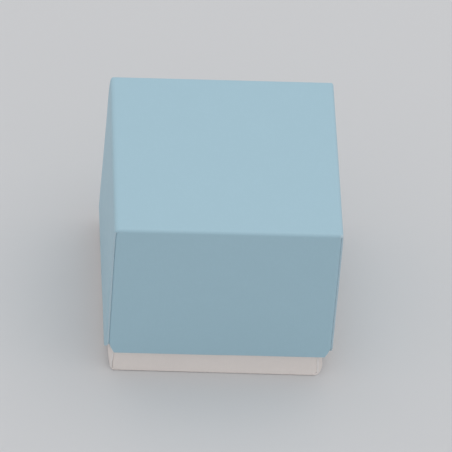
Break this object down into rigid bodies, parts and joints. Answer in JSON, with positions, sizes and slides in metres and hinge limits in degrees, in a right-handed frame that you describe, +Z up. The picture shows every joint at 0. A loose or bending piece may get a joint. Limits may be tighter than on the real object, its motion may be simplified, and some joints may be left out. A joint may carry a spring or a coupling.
{
  "type": "two-piece card box",
  "caption": "Small square box of folded thin card: a light blue lid lifts straight off a cream base, and its deep walls leave a narrow strip of the base showing.",
  "frame": {"origin": "middle of the underside of the base, which the box stands on", "axes": "+Z up, the way the lid lifts; the front wall faces -Y and the left wall faces -X"},
  "size_m": [0.0512, 0.05, 0.044],
  "materials": {
    "lid_card": "matt, light blue all through",
    "base_card": "matt, uncoated cream",
    "glue": "dried white glue"
  },
  "bodies": {
    "base": {"base_bottom_panel": "base_card", "base_front_wall": "base_card", "base_back_wall": "base_card", "base_left_wall": "base_card", "base_right_wall": "base_card", "base_front_left_flap": "base_card", "base_front_right_flap": "base_card", "base_back_left_flap": "base_card", "base_back_right_flap": "base_card", "base_front_left_glue": "glue", "base_front_right_glue": "glue", "base_back_left_glue": "glue", "base_back_right_glue": "glue"},
    "lid": {"lid_top_panel": "lid_card", "lid_front_wall": "lid_card", "lid_back_wall": "lid_card", "lid_left_wall": "lid_card", "lid_right_wall": "lid_card", "lid_front_left_flap": "lid_card", "lid_front_right_flap": "lid_card", "lid_back_left_flap": "lid_card", "lid_back_right_flap": "lid_card", "lid_front_left_glue": "glue", "lid_front_right_glue": "glue", "lid_back_left_glue": "glue", "lid_back_right_glue": "glue"}
  },
  "joints": [
    {"name": "lid_lift", "type": "slide", "parent": "base", "child": "lid", "axis": [0, 0, 1], "range_m": [0, 0.05]}
  ]
}
